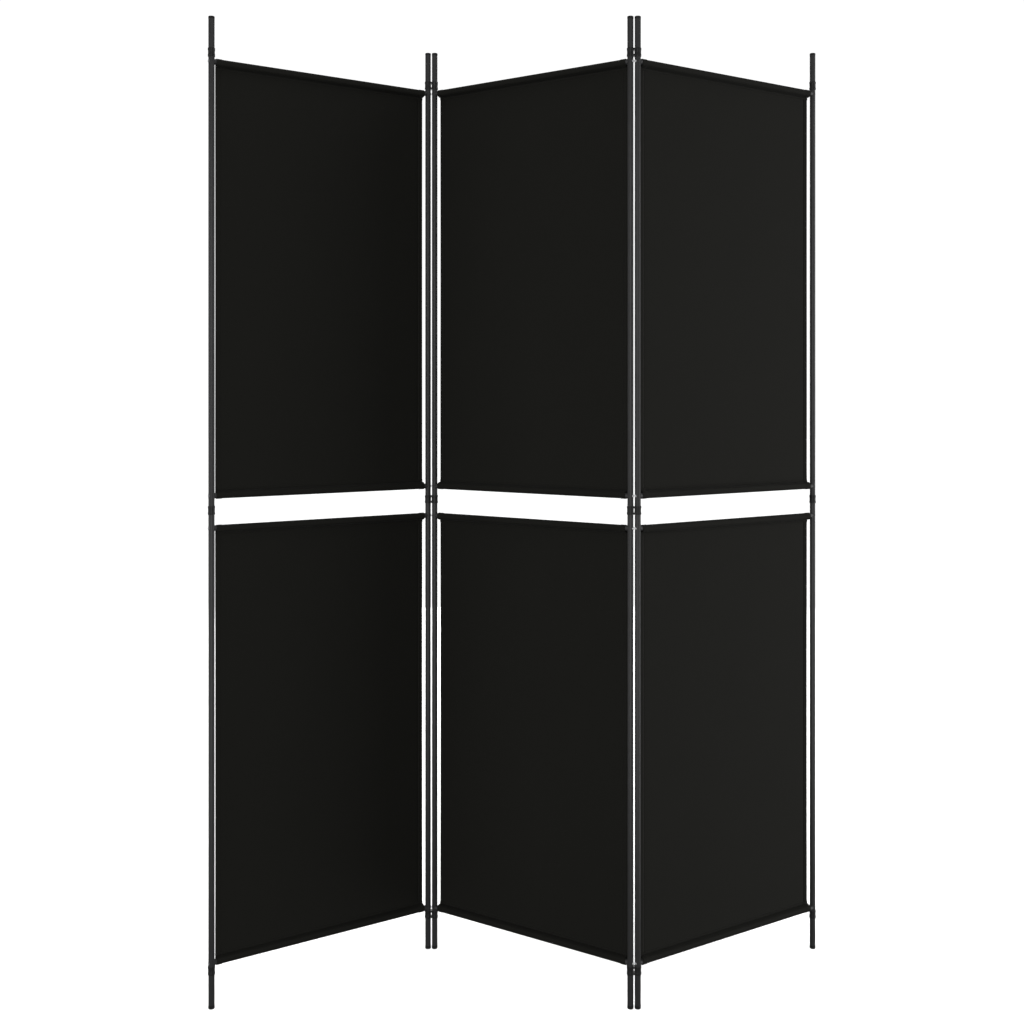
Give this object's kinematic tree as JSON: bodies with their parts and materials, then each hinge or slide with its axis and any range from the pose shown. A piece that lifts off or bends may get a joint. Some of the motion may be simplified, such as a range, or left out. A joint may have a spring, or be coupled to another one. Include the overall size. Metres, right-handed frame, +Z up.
{
  "type": "folding room divider screen",
  "caption": "Folding fabric room divider: leaves on thin round tube frames, zigzag on the floor, joined by double-eye clips, with an open band between upper and lower panels.",
  "frame": {"origin": "on the floor, in the middle of the middle leaf, which is the centre of the whole footprint", "axes": "+X along the standing screen to its right end, +Y to its back, +Z up; the front faces -Y"},
  "size_m": [1.2888, 0.2678, 2],
  "materials": {
    "frame_coat": "satin black powder coat on steel tube",
    "clip_plastic": "satin moulded black plastic",
    "cap_plastic": "fine-textured moulded black plastic",
    "screw_zinc": "bright zinc-plated steel",
    "bare_steel": "bare drawn steel, hidden",
    "screen_fabric": "plain-woven opaque black polyester, sleeved and hemmed"
  },
  "bodies": {
    "middle_leaf": {"middle_leaf_left_post_lower": "frame_coat", "middle_leaf_left_post_upper": "frame_coat", "middle_leaf_right_post_lower": "frame_coat", "middle_leaf_right_post_upper": "frame_coat", "middle_leaf_left_spigot": "bare_steel", "middle_leaf_right_spigot": "bare_steel", "middle_leaf_bottom_rod": "frame_coat", "middle_leaf_lower_middle_rod": "frame_coat", "middle_leaf_upper_middle_rod": "frame_coat", "middle_leaf_top_rod": "frame_coat", "middle_leaf_rod_inserts": "bare_steel", "middle_leaf_rod_screws": "screw_zinc", "middle_leaf_top_caps": "cap_plastic", "middle_leaf_foot_caps": "cap_plastic", "middle_leaf_lower_fabric": "screen_fabric", "middle_leaf_upper_fabric": "screen_fabric"},
    "left_leaf": {"left_leaf_left_post_lower": "frame_coat", "left_leaf_left_post_upper": "frame_coat", "left_leaf_right_post_lower": "frame_coat", "left_leaf_right_post_upper": "frame_coat", "left_leaf_left_spigot": "bare_steel", "left_leaf_right_spigot": "bare_steel", "left_leaf_bottom_rod": "frame_coat", "left_leaf_lower_middle_rod": "frame_coat", "left_leaf_upper_middle_rod": "frame_coat", "left_leaf_top_rod": "frame_coat", "left_leaf_rod_inserts": "bare_steel", "left_leaf_rod_screws": "screw_zinc", "left_leaf_top_caps": "cap_plastic", "left_leaf_foot_caps": "cap_plastic", "left_leaf_lower_fabric": "screen_fabric", "left_leaf_upper_fabric": "screen_fabric", "left_end_collars": "clip_plastic"},
    "right_leaf": {"right_leaf_left_post_lower": "frame_coat", "right_leaf_left_post_upper": "frame_coat", "right_leaf_right_post_lower": "frame_coat", "right_leaf_right_post_upper": "frame_coat", "right_leaf_left_spigot": "bare_steel", "right_leaf_right_spigot": "bare_steel", "right_leaf_bottom_rod": "frame_coat", "right_leaf_lower_middle_rod": "frame_coat", "right_leaf_upper_middle_rod": "frame_coat", "right_leaf_top_rod": "frame_coat", "right_leaf_rod_inserts": "bare_steel", "right_leaf_rod_screws": "screw_zinc", "right_leaf_top_caps": "cap_plastic", "right_leaf_foot_caps": "cap_plastic", "right_leaf_lower_fabric": "screen_fabric", "right_leaf_upper_fabric": "screen_fabric", "right_end_collars": "clip_plastic"},
    "left_hinge": {"left_hinge_bottom_clip": "clip_plastic", "left_hinge_middle_clip": "clip_plastic", "left_hinge_top_clip": "clip_plastic"},
    "right_hinge": {"right_hinge_bottom_clip": "clip_plastic", "right_hinge_middle_clip": "clip_plastic", "right_hinge_top_clip": "clip_plastic"}
  },
  "joints": [
    {"name": "left_inner_eye", "type": "hinge", "parent": "middle_leaf", "child": "left_hinge", "pos_m": [-0.20741, 0.1266, 1.0038], "axis": [0, 0, 1], "range_deg": [-61.4, 58.6]},
    {"name": "left_outer_eye", "type": "hinge", "parent": "left_hinge", "child": "left_leaf", "pos_m": [-0.22231, 0.1266, 1.0038], "axis": [0, 0, 1], "range_deg": [-61.4, 58.6]},
    {"name": "right_inner_eye", "type": "hinge", "parent": "middle_leaf", "child": "right_hinge", "pos_m": [0.20741, -0.1266, 1.0038], "axis": [0, 0, 1], "range_deg": [-61.4, 58.6]},
    {"name": "right_outer_eye", "type": "hinge", "parent": "right_hinge", "child": "right_leaf", "pos_m": [0.22231, -0.1266, 1.0038], "axis": [0, 0, 1], "range_deg": [-61.4, 58.6]}
  ]
}
